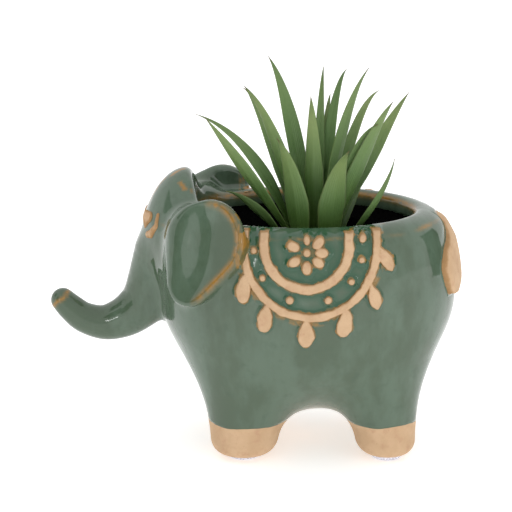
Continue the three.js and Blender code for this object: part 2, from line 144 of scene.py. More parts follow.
def leg_field(x, y, z, leg):
    t = np.clip((z - LEG["foot_z"]) / (LEG["hip_z"] - LEG["foot_z"]), 0, 1)
    cx = leg["foot"][0] + (leg["hip"][0] - leg["foot"][0]) * t
    cy = leg["foot"][1] + (leg["hip"][1] - leg["foot"][1]) * t
    radius = leg["foot_radius"] + (leg["hip_radius"] - leg["foot_radius"]) * t * t * (3 - 2 * t)
    end = np.maximum(LEG["foot_z"] - z, z - LEG["top_z"])
    return rounded(np.hypot(x - cx, y - cy) - radius, end, LEG["edge"])


def smooth_path(points, steps):
    """A Catmull-Rom curve through the points, as an array of points."""
    p = np.array(points, float)
    p = np.vstack([2 * p[0] - p[1], p, 2 * p[-1] - p[-2]])
    t = np.linspace(0, 1, steps, endpoint=False)[:, None]
    path = []
    for a, b, c, d in zip(p[:-3], p[1:-2], p[2:-1], p[3:]):
        path.append((2 * b + (c - a) * t + (2 * a - 5 * b + 4 * c - d) * t ** 2
                     + (3 * b - a - 3 * c + d) * t ** 3) / 2)
    return np.vstack(path + [p[-2:-1]])


TRUNK_PATH = smooth_path(TRUNK, 9)
TRUNK_REACH = 26      # the trunk's field is only worked out this near its centre line's box


def trunk_field(x, y, z):
    low, high = TRUNK_PATH.min(0) - TRUNK_REACH, TRUNK_PATH.max(0) + TRUNK_REACH
    near = (x > low[0]) & (x < high[0]) & (z > low[1]) & (z < high[1]) & (np.abs(y) < TRUNK_REACH)
    px, py, pz = x[near], y[near], z[near]
    best = np.full(px.shape, 1e3)
    for (ax, az, ar), (bx, bz, br) in zip(TRUNK_PATH[:-1], TRUNK_PATH[1:]):
        dx, dz = bx - ax, bz - az
        t = np.clip(((px - ax) * dx + (pz - az) * dz) / (dx * dx + dz * dz), 0, 1)
        reach = np.sqrt((px - ax - t * dx) ** 2 + py ** 2 + (pz - az - t * dz) ** 2)
        best = np.minimum(best, reach - ar - (br - ar) * t)
    field = np.full(x.shape, 1e3)
    field[near] = best
    return field


def head_field(x, y, z):
    lean = math.radians(HEAD_LEAN)
    dx, dz = x - HEAD_CENTRE[0], z - HEAD_CENTRE[2]
    along = dx * math.cos(lean) - dz * math.sin(lean)
    up = dx * math.sin(lean) + dz * math.cos(lean)
    return blend(ellipsoid(along, y, up, *HEAD_RADII), trunk_field(x, y, z), HEAD_FILLET)


def unit(v):
    v = np.array(v, float)
    return v / np.linalg.norm(v)


EAR_NORMAL = unit(EAR["facing"])
EAR_UP = unit(np.array([0, 0, 1]) - EAR_NORMAL[2] * EAR_NORMAL)
EAR_ALONG = np.cross(EAR_NORMAL, EAR_UP)


def ear_place(x, y, z):
    """Along, up and out of the right ear's plate, for points with y made positive."""
    q = [x - EAR["centre"][0], np.abs(y) - EAR["centre"][1], z - EAR["centre"][2]]
    return tuple(sum(a * b for a, b in zip(q, axis)) for axis in (EAR_ALONG, EAR_UP, EAR_NORMAL))


def ear_outline(a, b):
    """Distance, on the ear's face, outside the outline round its large top and small lobe."""
    start = np.array([0, EAR["top_rise"]])
    line = np.array(EAR["lobe_at"]) - start
    length = np.linalg.norm(line)
    dx, dy = line / length
    along = (a - start[0]) * dx + (b - start[1]) * dy
    aside = np.abs((a - start[0]) * -dy + (b - start[1]) * dx)
    slant = (EAR["top"] - EAR["lobe"]) / length
    flat = math.sqrt(1 - slant ** 2)
    k = flat * along - slant * aside
    top = np.hypot(aside, along) - EAR["top"]
    lobe = np.hypot(aside, along - length) - EAR["lobe"]
    side = aside * flat + along * slant - EAR["top"]
    return np.where(k < 0, top, np.where(k > flat * length, lobe, side))


def ear_field(a, b, out):
    middle = out - (a * a + b * b) * EAR["dish"] + EAR["sink"]
    half = EAR["thickness"] / 2
    return rounded(ear_outline(a, b), np.abs(middle) - half, half - 0.2)


def outside_field(x, y, z):
    """The casting as a full solid, its cheeks filled out to meet the ears."""
    side = np.abs(y)
    torso = cut_away(torso_field(x, y, z), z - RIM_Z, RIM_EDGE)
    legs = np.minimum(leg_field(x, side, z, FRONT_LEG), leg_field(x, side, z, REAR_LEG))
    whole = blend(blend(torso, legs, LEG_FILLET), head_field(x, y, z), HEAD_FILLET)
    cx, cy, cz = CHEEK["centre"]
    whole = blend(whole, ellipsoid(x - cx, side - cy, z - cz, *CHEEK["radii"]), CHEEK["fillet"])
    a, b, out = ear_place(x, y, z)
    front = np.clip((EAR_FILLET["from"] - a) / EAR_FILLET["run"], 0, 1)
    grow = (EAR_FILLET["front"] - EAR_FILLET["back"]) * front * front * (3 - 2 * front)
    return blend(whole, ear_field(a, b, out), EAR_FILLET["back"] + grow)


def hollow_field(x, y, z):
    inside = cut_away(torso_field(x, y, z, WALL), z - (RIM_Z - 9), 6)
    inside = cut_away(inside, FLOOR_Z - z, 6)
    reach = np.hypot((x - MOUTH["x"]) / MOUTH["half_length"], y / MOUTH["half_width"])
    mouth = np.maximum((reach - 1) * MOUTH["half_width"], MOUTH["bottom"] - z)
    return blend(inside, mouth, 4)


def casting_field(x, y, z):
    return cut_away(outside_field(x, y, z), -hollow_field(x, y, z), LIP)


# ---- meshes ----
def slope(field, p, step=0.05):
    """Gradient of a field at an array of points."""
    columns = []
    for axis in range(3):
        shift = np.zeros(3)
        shift[axis] = step
        columns.append((field(*(p + shift).T) - field(*(p - shift).T)) / (2 * step))
    return np.stack(columns, 1)


def settle(field, p, rounds=3):
    """Moves points onto the surface where the field is zero."""
    for _ in range(rounds):
        g = slope(field, p)
        p = p - g * (field(*p.T) / np.maximum((g * g).sum(1), 1e-6))[:, None]
    return p


def skin(field, low, high, cell):
    """Closed quad mesh of the surface where the field is zero.

    One point in each grid cell that the surface crosses, and one quad for each grid edge that it crosses.
    """
    axes = [np.arange(a, b + cell, cell) for a, b in zip(low, high)]
    x, y, z = np.meshgrid(*axes, indexing="ij")
    value = field(x.ravel(), y.ravel(), z.ravel()).reshape(x.shape)
    inside = value < 0
    total = np.zeros(x.shape + (3,))
    count = np.zeros(x.shape)
    crossings = []
    for axis in range(3):
        one = [slice(None)] * 3
        two = [slice(None)] * 3
        one[axis], two[axis] = slice(None, -1), slice(1, None)
        at = np.argwhere(inside[tuple(one)] != inside[tuple(two)])
        start = tuple(at.T)
        end = tuple((at + np.eye(3, dtype=int)[axis]).T)
        place = at.astype(float)
        place[:, axis] += value[start] / (value[start] - value[end])
        crossings.append((axis, at, inside[start]))
        for i in (0, 1):
            for j in (0, 1):
                cell_at = at.copy()
                cell_at[:, (axis + 1) % 3] -= i
                cell_at[:, (axis + 2) % 3] -= j
                where = tuple(cell_at.T)
                np.add.at(total, where, place)
                np.add.at(count, where, 1)
    number = np.cumsum(count.ravel() > 0).reshape(count.shape) - 1
    used = count > 0
    points = np.array(low) + cell * total[used] / count[used][:, None]
    quads = []
    for axis, at, outward in crossings:
        ring = []
        for i, j in ((0, 0), (1, 0), (1, 1), (0, 1)):
            corner = at.copy()
            corner[:, (axis + 1) % 3] -= i
            corner[:, (axis + 2) % 3] -= j
            ring.append(number[tuple(corner.T)])
        quad = np.stack(ring, 1)
        quad[~outward] = quad[~outward][:, ::-1]
        quads.append(quad)
    return points, np.vstack(quads)


def relax(points, quads, field, rounds=3):
    """Evens out the mesh: each point moves to the middle of its neighbours, then back onto the surface."""
    edges = np.vstack([quads[:, [i, (i + 1) % 4]] for i in range(4)])
    a, b = edges.T
    for _ in range(rounds):
        weight = np.bincount(a, minlength=len(points)) + np.bincount(b, minlength=len(points))
        sums = [np.bincount(a, points[b, k], len(points)) + np.bincount(b, points[a, k], len(points))
                for k in range(3)]
        middle = np.stack(sums, 1) / weight[:, None]
        points = settle(field, points + 0.6 * (middle - points), 1)
    return settle(field, points, 2)


def mesh_object(name, points, faces, material, normals=None, **attributes):
    """A smooth-shaded object from points in millimetres, with a float attribute for each keyword."""
    mesh = bpy.data.meshes.new(name)
    mesh.from_pydata((np.asarray(points) * MM).tolist(), [], [tuple(map(int, face)) for face in faces])
    mesh.shade_smooth()
    for key, values in attributes.items():
        layer = mesh.attributes.new(key, "FLOAT", "POINT")
        layer.data.foreach_set("value", np.asarray(values, np.float32))
    mesh.materials.append(material)
    if normals is not None:
        mesh.normals_split_custom_set_from_vertices(normals.tolist())
    piece = bpy.data.objects.new(name, mesh)
    bpy.context.scene.collection.objects.link(piece)
    return piece


def lathe(name, profile, segments, centre, material):
    """A closed solid of revolution about the vertical, from its bottom centre to its top centre."""
    turns = np.arange(segments) * 2 * math.pi / segments
    points = [(centre[0], centre[1], profile[0][1])]
    for r, z in profile[1:-1]:
        points += [(centre[0] + r * math.cos(t), centre[1] + r * math.sin(t), z) for t in turns]
    points.append((centre[0], centre[1], profile[-1][1]))
    faces = ring_faces(len(profile) - 2, segments, 1)
    last = len(points) - 1
    top = last - segments
    for i in range(segments):
        j = (i + 1) % segments
        faces += [(0, 1 + j, 1 + i), (last, top + i, top + j)]
    return mesh_object(name, points, faces, material)


def ring_faces(rings, size, first=0):
    """Quads between neighbouring rings, each ring counter-clockwise seen from the last one's side."""
    faces = []
    for ring in range(rings - 1):
        a, b = first + ring * size, first + (ring + 1) * size
        faces += [(a + i, a + (i + 1) % size, b + (i + 1) % size, b + i) for i in range(size)]
    return faces


RIPPLES = ((1, 0.4, 0.7), (-0.6, 1, 0.3), (0.5, -0.8, 1), (0.9, 0.7, -0.5), (-0.3, 0.6, 1.4))


def ripple(x, y, z, size, seed=0):
    """A smooth uneven value between about -1 and 1, with features of about `size` millimetres."""
    total = 0
    for i, (a, b, c) in enumerate(RIPPLES):
        total = total + np.sin((a * x + b * y + c * z) * 6.28 / size + 1.7 * i + seed)
    return total / 2.5


# ---- node materials ----
class Shader:
    """A material with one Principled shader, and short names for the nodes that feed it."""

    def __init__(self, name, **settings):
        self.material = bpy.data.materials.new(name)
        self.material.use_nodes = True
        self.tree = self.material.node_tree
        self.surface = self.tree.nodes["Principled BSDF"]
        self.place = self.tree.nodes.new("ShaderNodeTexCoord").outputs["Object"]
        for key, value in settings.items():
            self.surface.inputs[key.replace("_", " ")].default_value = value

    def feed(self, node, key, value):
        if isinstance(value, bpy.types.NodeSocket):
            self.tree.links.new(value, node.inputs[key])
        else:
            node.inputs[key].default_value = value

    def set(self, key, value):
        self.feed(self.surface, key, value)

    def value(self, name):
        node = self.tree.nodes.new("ShaderNodeAttribute")
        node.attribute_name = name
        return node.outputs["Fac"]

    def noise(self, size, detail=3.0, roughness=0.55, stretch=None):
        """Noise from 0 to 1 with features of about `size` millimetres."""
        node = self.tree.nodes.new("ShaderNodeTexNoise")
        place = self.place
        if stretch:
            scaling = self.tree.nodes.new("ShaderNodeMapping")
            scaling.inputs["Scale"].default_value = stretch
            self.tree.links.new(place, scaling.inputs["Vector"])
            place = scaling.outputs["Vector"]
        self.tree.links.new(place, node.inputs["Vector"])
        node.inputs["Scale"].default_value = 1 / (size * MM)
        node.inputs["Detail"].default_value = detail
        node.inputs["Roughness"].default_value = roughness
        return node.outputs["Fac"]

    def cells(self, size):
        """Distance to the nearest of scattered points about `size` millimetres apart."""
        node = self.tree.nodes.new("ShaderNodeTexVoronoi")
        self.tree.links.new(self.place, node.inputs["Vector"])
        node.inputs["Scale"].default_value = 1 / (size * MM)
        return node.outputs["Distance"]

    def math(self, operation, a, b=0.0):
        node = self.tree.nodes.new("ShaderNodeMath")
        node.operation = operation
        self.feed(node, 0, a)
        self.feed(node, 1, b)
        return node.outputs[0]

    def fade(self, value, start, end, low=0.0, high=1.0):
        """Runs smoothly from low to high as value goes from start to end."""
        node = self.tree.nodes.new("ShaderNodeMapRange")
        node.interpolation_type = "SMOOTHSTEP"
        self.feed(node, "Value", value)
        for key, number in (("From Min", start), ("From Max", end), ("To Min", low), ("To Max", high)):
            node.inputs[key].default_value = number
        return node.outputs["Result"]

    def mix(self, factor, a, b):
        node = self.tree.nodes.new("ShaderNodeMix")
        node.data_type = "RGBA"
        for socket, value in ((0, factor), (6, a), (7, b)):
            self.feed(node, socket, value)
        return node.outputs[2]

    def bump(self, height, depth, strength=1.0):
        """Bumps from 0 to `depth` millimetres high."""
        node = self.tree.nodes.new("ShaderNodeBump")
        node.inputs["Distance"].default_value = depth * MM
        node.inputs["Strength"].default_value = strength
        self.tree.links.new(height, node.inputs["Height"])
        self.tree.links.new(node.outputs["Normal"], self.surface.inputs["Normal"])


def colour(code):
    """Linear colour from an RRGGBB code."""
    parts = [int(code[i:i + 2], 16) / 255 for i in (0, 2, 4)]
    return (*[p / 12.92 if p <= 0.04045 else ((p + 0.055) / 1.055) ** 2.4 for p in parts], 1.0)


GLAZE_MID, GLAZE_DEEP, GLAZE_PALE = colour("495a46"), colour("3e5340"), colour("566957")
GLAZE_POOLED = colour("285239")
BROWN_BREAK = colour("99702f")
CLAY_TAN, CLAY_PALE, CLAY_PINK = colour("c3a17d"), colour("cdac88"), colour("b98f70")
CLAY_STAIN = colour("9d7442")


def clay_colour(shader):
    base = shader.mix(shader.fade(shader.noise(9), 0.35, 0.65), CLAY_TAN, CLAY_PALE)
    blotched = shader.mix(shader.fade(shader.noise(3.2, 4), 0.52, 0.75, 0, 0.6), base, CLAY_PINK)
    specks = shader.fade(shader.noise(0.5, 2), 0.66, 0.74, 0, 0.35)
    return shader.mix(specks, blotched, CLAY_STAIN)


def glaze_material():
    """Glossy celadon glaze that pools deep green and breaks brown over edges, and bare clay on the feet."""
    s = Shader("celadon_glaze", IOR=1.54)
    cloud = s.fade(s.noise(20, 4, 0.6, (1, 1, 0.45)), 0.4, 0.62)
    body = s.mix(cloud, GLAZE_MID, GLAZE_PALE)
    body = s.mix(s.fade(s.noise(5, 5, 0.6), 0.5, 0.8, 0, 0.5), body, GLAZE_DEEP)
    relief = s.value("relief")
    saddle = s.value("saddle")
    inside = s.math("MULTIPLY", s.fade(relief, 4.5, 0.5, 0.05, 0.95), s.fade(saddle, 1, -1.5))
    beside = s.fade(relief, 2, 0.3, 0, 0.6)
    body = s.mix(s.math("MAXIMUM", inside, beside), body, GLAZE_POOLED)
    ragged = s.math("ADD", relief, s.math("MULTIPLY", s.fade(s.noise(3, 3), 0.35, 0.7), -0.7))
    fringe = s.math("MULTIPLY", s.fade(ragged, 0.35, -0.3), s.fade(s.noise(8, 2), 0.4, 0.6, 0.35, 0.95))
    below = s.math("MULTIPLY", s.fade(saddle, 4.6, 3.2), s.fade(saddle, 1.2, 2))
    drips = s.math("MULTIPLY", below, s.fade(s.noise(6, 3), 0.44, 0.58, 0, 0.75))
    brown = s.math("MAXIMUM", fringe, drips)
    thin = s.math("MULTIPLY", s.value("thin"), s.fade(s.noise(3, 4), 0.3, 0.55, 0.35, 1))
    brown = s.math("MAXIMUM", brown, thin)
    glaze = s.mix(brown, body, BROWN_BREAK)
    line = s.math("ADD", s.value("bare"), s.math("MULTIPLY", s.fade(s.noise(14, 2), 0.2, 0.8), 0.8))
    bare = s.fade(line, 0.62, 0.5)
    rim = s.math("MULTIPLY", s.fade(line, 1.3, 0.6), 0.45)
    glaze = s.mix(rim, glaze, GLAZE_POOLED)
    s.set("Base Color", s.mix(bare, glaze, clay_colour(s)))
    s.set("Roughness", s.fade(bare, 0, 1, 0.07, 0.8))
    ripples = s.math("MULTIPLY", s.noise(16, 2), s.fade(bare, 0, 1, 1.0, 0.0))
    grit = s.math("MULTIPLY", s.noise(0.6, 2), s.fade(bare, 0, 1, 0.0, 0.5))
    roll = s.math("MULTIPLY", s.fade(line, 0.5, 1.3), 0.6)
    pile = s.math("MULTIPLY", s.fade(relief, 1.6, 0.1), 1.6)
    s.bump(s.math("ADD", s.math("ADD", ripples, grit), s.math("ADD", roll, pile)), 0.35)
    return s.material


def clay_material():
    """Unglazed clay relief, with glaze stain soaked into its edges."""
    s = Shader("bare_clay", Roughness=0.78)
    ragged = s.math("ADD", s.value("edge"), s.math("MULTIPLY", s.noise(2.5, 3), 0.9))
    stain = s.fade(ragged, -0.15, 0.45, 0, 0.8)
    s.set("Base Color", s.mix(stain, clay_colour(s), CLAY_STAIN))
    s.bump(s.math("ADD", s.noise(0.7, 2), s.math("MULTIPLY", s.noise(4, 3), 1.5)), 0.22)
    return s.material


def leaf_material():
    """Soft moulded plastic, dark at the base, yellower to the brown tip, with fine lengthwise veins."""
    s = Shader("leaf_plastic", Roughness=0.46)
    along, across, tone = s.value("along"), s.value("across"), s.value("tone")
    body = s.mix(s.fade(along, 0.05, 0.5), colour("3c5a19"), colour("53753f"))
    body = s.mix(s.math("MULTIPLY", tone, s.fade(along, 0.2, 0.8)), body, colour("8b9c5f"))
    body = s.mix(s.fade(s.noise(11, 3), 0.4, 0.7, 0, 0.35), body, colour("607d42"))
    edge = s.math("MULTIPLY", s.fade(s.math("ABSOLUTE", across), 0.86, 1.0), 0.3)
    body = s.mix(edge, body, colour("8c9c60"))
    tip = s.fade(s.math("ADD", along, s.math("MULTIPLY", s.noise(4), 0.06)), 0.93, 1.03, 0, 0.75)
    s.set("Base Color", s.mix(tip, body, colour("6f5638")))
    s.set("Roughness", s.fade(s.noise(6, 3), 0.3, 0.7, 0.4, 0.55))
    veins = s.math("SINE", s.math("MULTIPLY", across, 34.0))
    s.bump(s.math("ADD", s.math("MULTIPLY", veins, 0.4), s.noise(2.5, 3)), 0.09)
    return s.material


def foam_material():
    """Black open-cell foam: matte, with small round cells."""
    s = Shader("black_foam", Roughness=0.95, IOR=1.1)
    s.surface.inputs["Specular IOR Level"].default_value = 0.05
    cells = s.fade(s.cells(1.1), 0.15, 0.6)
    s.set("Base Color", s.mix(s.math("MULTIPLY", cells, s.noise(5, 4)), colour("010101"), colour("070706")))
    s.bump(cells, 0.6)
    return s.material


def stem_material():
    s = Shader("crown_plastic", Roughness=0.55)
    s.set("Base Color", s.mix(s.fade(s.noise(3, 3), 0.35, 0.65), colour("2b4218"), colour("45602b")))
    s.bump(s.noise(1.5, 3), 0.2)
    return s.material


def pad_material():
    """Clear soft rubber, a little milky, with fine scuffs."""
    s = Shader("clear_rubber", IOR=1.45)
    s.set("Base Color", s.mix(s.fade(s.noise(2, 3), 0.4, 0.7), colour("e6e6ee"), colour("d6d4e2")))
    s.surface.inputs["Transmission Weight"].default_value = 0.5
    s.set("Roughness", s.fade(s.noise(0.8, 2), 0.3, 0.7, 0.22, 0.38))
    return s.material


def floor_material():
    """White acrylic shooting table, lit a little from below."""
    s = Shader("white_floor", Roughness=0.6, Emission_Strength=0.45)
    s.surface.inputs["Emission Color"].default_value = (1, 1, 1, 1)
    s.set("Base Color", s.mix(s.noise(80, 2), colour("f6f6f6"), colour("fafafa")))
    return s.material


# ---- ceramic casting ----
def stroke_edge(p, path):
    """Distance outside a round stroke along (x, y, z, radius) points, for points with y made positive."""
    q = p * (1, 0, 1) + np.abs(p) * (0, 1, 0)
    best = np.full(len(p), 1e3)
    for a, b in zip(path[:-1], path[1:]):
        start, line = np.array(a[:3]), np.array(b[:3]) - a[:3]
        t = np.clip((q - start) @ line / (line @ line), 0, 1)
        reach = np.linalg.norm(q - start - t[:, None] * line, axis=1)
        best = np.minimum(best, reach - a[3] - (b[3] - a[3]) * t)
    return best


def band_edge(x, z, band):
    """Distance outside a U-shaped band: a half ring with two straight arms up to the rim."""
    reach = np.where(z < band["z"], np.hypot(x - band["x"], z - band["z"]), np.abs(x - band["x"]))
    return np.maximum(np.abs(reach - band["radius"]) - band["half"], z - band["top"])


def petal_edge(x, z, middle, angle, start, end, half, point):
    """Distance outside a petal that points away from the middle; a lower `point` makes a sharper tip."""
    c, s = math.cos(math.radians(angle)), math.sin(math.radians(angle))
    along = ((x - middle[0]) * c + (z - middle[1]) * s - start) / (end - start)
    aside = np.abs((z - middle[1]) * c - (x - middle[0]) * s)
    t = np.clip(along, 0.02, 0.98)
    over = np.abs(along - t) * (end - start)
    width = half * np.sin(math.pi * (0.08 + 0.92 * t) ** 1.45) ** point
    side = aside - width
    return np.where(over > 0, np.hypot(np.maximum(side, 0), over), side)


def nearest(distances):
    return np.minimum.reduce(list(distances))


def uneven(x, z):
    return 0.22 * ripple(x, 0, z, 9) + 0.1 * ripple(x, 0, z, 3.5, 2)


def inner_edge(x, z):
    return band_edge(x, z, INNER_BAND) + uneven(x, z)


def fringe_edge(x, z):
    drops = []
    for angle, lean, half, point in DROPS["hang"]:
        neck = (OUTER_BAND["x"] + DROPS["neck"] * math.cos(math.radians(angle)),
                OUTER_BAND["z"] + DROPS["neck"] * math.sin(math.radians(angle)))
        drops.append(petal_edge(x, z, neck, lean, 0, DROPS["length"], half, point))
    dots = [np.hypot(x - DOTS["x"] - DOTS["reach"] * math.cos(math.radians(angle)),
                     z - DOTS["z"] - DOTS["reach"] * math.sin(math.radians(angle))) - DOTS["radius"]
            for angle in DOTS["angles"]]
    return nearest([band_edge(x, z, OUTER_BAND), *drops, *dots]) + uneven(x, z)


def flower_edge(x, z):
    dx, dz = x - FLOWER["x"], z - FLOWER["z"]
    shapes = [np.hypot(dx, dz) - FLOWER["core"]]
    for angle, reach, half_length, half_width in FLOWER["petals"]:
        c, s = math.cos(math.radians(angle)), math.sin(math.radians(angle))
        oval = np.hypot((dx * c + dz * s - reach) / half_length, (dz * c - dx * s) / half_width)
        shapes.append((oval - 1) * half_width)
    return nearest(shapes) + 0.5 * uneven(x, z)


def relief_edge(x, z):
    return nearest([inner_edge(x, z), fringe_edge(x, z), flower_edge(x, z)])


TAIL_PATH = smooth_path(TAIL, 6)


def tail_edge(y, z):
    """Distance outside the tail's outline, seen from behind."""
    heights = TAIL_PATH[::-1, 1]
    middle = np.interp(z, heights, TAIL_PATH[::-1, 0])
    half = np.interp(z, heights, TAIL_PATH[::-1, 2])
    side = np.abs(y - middle) - half + 0.3 * ripple(y, 0, z, 11, 4)
    over = np.maximum(np.maximum(z - TAIL[0][1], TAIL[-1][1] - z), 0)
    return np.where(over > 0, np.hypot(np.maximum(side, 0), over), side)


def plain_pot_field(x, y, z):
    """The outside of the pot without head and ears, which the clay relief is laid on."""
    torso = cut_away(torso_field(x, y, z), z - RIM_Z, RIM_EDGE)
    side = np.abs(y)
    legs = np.minimum(leg_field(x, side, z, FRONT_LEG), leg_field(x, side, z, REAR_LEG))
    return blend(torso, legs, LEG_FILLET)


# strokes of (x, y, z, radius): the forehead's petals, then the places where the glaze breaks on the head
PETAL_INNER = [(-46.8, 5.5, 101.6, 2.5), (-44.7, 11, 102, 2.5), (-46.8, 9.2, 97.6, 0.9),
               (-46.8, 5.5, 101.6, 2.5)]
PETAL_OUTER = [(-41, 16.4, 104.2, 1), (-41.4, 17.6, 99.6, 1.6), (-44, 15.3, 95.8, 2), (-45.8, 13, 95, 1.5)]
CREST = [[(-31, 2, 121.6, 1), (-35.8, 4.5, 119.4, 1.1)], [(-38.5, 2.5, 117, 0.9), (-41, 2.5, 114.6, 0.9)],
         [(-42, 3, 113, 1), (-46.2, 2.5, 105.8, 1.2)], [(-50.5, 1, 92, 1), (-51.5, 1, 84, 0.9)]]
SPOTS = [[(-31.8, 11.5, 117.3, 0.8), (-29.8, 14, 115, 0.9)],
         [(-27.3, 13.6, 114.3, 0.7), (-27, 14.2, 112.8, 0.7)]]
PETAL_HEIGHT = 0.9
PETAL_EDGE = 0.7


def band_at(distance, width):
    """1 on a line, falling off over `width` on both sides."""
    return np.exp(-(distance / width) ** 2)


def thin_glaze(p):
    """How far the glaze has run off, from 0 to 1: on ridges, the ears' edges and the pot's lip."""
    x, y, z = p.T
    a, b, out = ear_place(x, y, z)
    off_ear = ear_outline(a, b)
    face = (out > (a * a + b * b) * EAR["dish"] - 1) & (out < 9)
    ear = band_at(off_ear + 1.9, 1.3) * np.clip((a + 4) / 6, 0, 1) * face
    reach = np.hypot((x - MOUTH["x"]) / MOUTH["half_length"], y / MOUTH["half_width"])
    inner = band_at((reach - 1) * MOUTH["half_width"] - 0.5, 0.8) * band_at(z - RIM_Z + 1.6, 1.6)
    outer = band_at(z - RIM_Z + 3.6 + 0.4 * ripple(x, y, 0, 23), 0.55) * (reach > 1.05)
    outer *= np.clip(0.3 + ripple(x, y, z, 19, 3), 0, 1) * ((off_ear > 4) | (np.abs(out) > 12))
    crest = np.maximum.reduce([np.clip(0.5 - stroke_edge(p, line), 0, 1) for line in CREST + SPOTS])
    tip, before = TRUNK_PATH[-1], TRUNK_PATH[-6]
    axis = unit((tip[0] - before[0], tip[1] - before[1]))
    beyond = (x - tip[0]) * axis[0] + (z - tip[1]) * axis[1]
    trunk = band_at(beyond - 1.2 + 0.3 * ripple(x, y, z, 7), 0.75) * (np.hypot(x - tip[0], z - tip[1]) < 9)
    return np.clip(np.maximum.reduce([ear, inner, outer * 0.9, crest, trunk]), 0, 1)


def mirrored(points, faces):
    return points * (1, -1, 1), faces[:, ::-1]


def make_casting(material):
    points, quads = skin(casting_field, (-93, -60, -2), (91, 60, 126), BODY_CELL)
    points = relax(points, quads, casting_field)
    x, y, z = points.T
    on_flank = (np.abs(y) > 28) & (hollow_field(x, y, z) > 2)
    relief = np.where(on_flank, relief_edge(x, z), FAR)
    inside = np.hypot(x - OUTER_BAND["x"], np.minimum(z - OUTER_BAND["z"], 0)) - OUTER_BAND["radius"]
    saddle = np.where(on_flank, inside, FAR)
    rump = (x > 60) & (hollow_field(x, y, z) > 2)
    relief = np.minimum(relief, np.where(rump, tail_edge(y, z), FAR))
    bare = z - GLAZE_LINE + 0.5 * ripple(x, y, 0, 31)
    return mesh_object("casting", points, quads, material, slope(casting_field, points),
                       relief=np.clip(relief, -3, FAR), saddle=np.clip(saddle, -FAR, FAR),
                       bare=np.clip(bare, -FAR, FAR), thin=thin_glaze(points))


# ---- clay relief ----
def laid_on(edge_of, height_of, edge):
    """Field of a clay strip with outline `edge_of` and rounded edges, pressed into the pot's skin."""
    def field(x, y, z):
        out = plain_pot_field(x, y, z)
        return np.maximum(rounded(edge_of(x, y, z), out - height_of(z), edge), -RELIEF_SUNK - out)
    return field


def make_saddle(name, edge, low, high, side, material):
    field = laid_on(lambda x, y, z: edge(x, z), lambda z: RELIEF_HEIGHT, RELIEF_EDGE)
    points, quads = skin(field, (low[0], 30, low[1]), (high[0], 57, high[1]), RELIEF_CELL)
    points = settle(field, points, 2)
    shape = edge(points[:, 0], points[:, 2])
    if side < 0:
        points, quads = mirrored(points, quads)
    return mesh_object(name, points, quads, material, edge=np.clip(shape, -4, 1))


def tail_height(z):
    full, gone, thinnest = TAIL_SINKS["full"], TAIL_SINKS["gone"], TAIL_SINKS["thinnest"]
    return thinnest + (TAIL_HEIGHT - thinnest) * np.clip((gone - z) / (gone - full), 0, 1) ** 0.7


def make_tail(material):
    field = laid_on(lambda x, y, z: tail_edge(y, z), tail_height, TAIL_EDGE)
    points, quads = skin(field, (60, -30, 66), (93, 12, 108), TAIL_CELL)
    points = settle(field, points, 2)
    shape = tail_edge(points[:, 1], points[:, 2])
    return mesh_object("tail_tuft", points, quads, material, edge=np.clip(shape, -4, 1))


def make_petals(side, material):
    """The two petals on each side of the forehead."""
    def edge(x, y, z):
        p = np.stack([x, y, z], 1)
        return np.minimum(stroke_edge(p, PETAL_INNER), stroke_edge(p, PETAL_OUTER))

    def field(x, y, z):
        out = outside_field(x, y, z)
        return np.maximum(rounded(edge(x, y, z), out - PETAL_HEIGHT, PETAL_EDGE), -RELIEF_SUNK - out)
    points, quads = skin(field, (-51, 2, 90), (-36, 22, 107), RELIEF_CELL)
    points = settle(field, points, 2)
    shape = edge(*points.T)
    if side < 0:
        points, quads = mirrored(points, quads)
    name = "forehead_petals_" + ("left" if side < 0 else "right")
    return mesh_object(name, points, quads, material, edge=np.clip(shape, -4, 1))


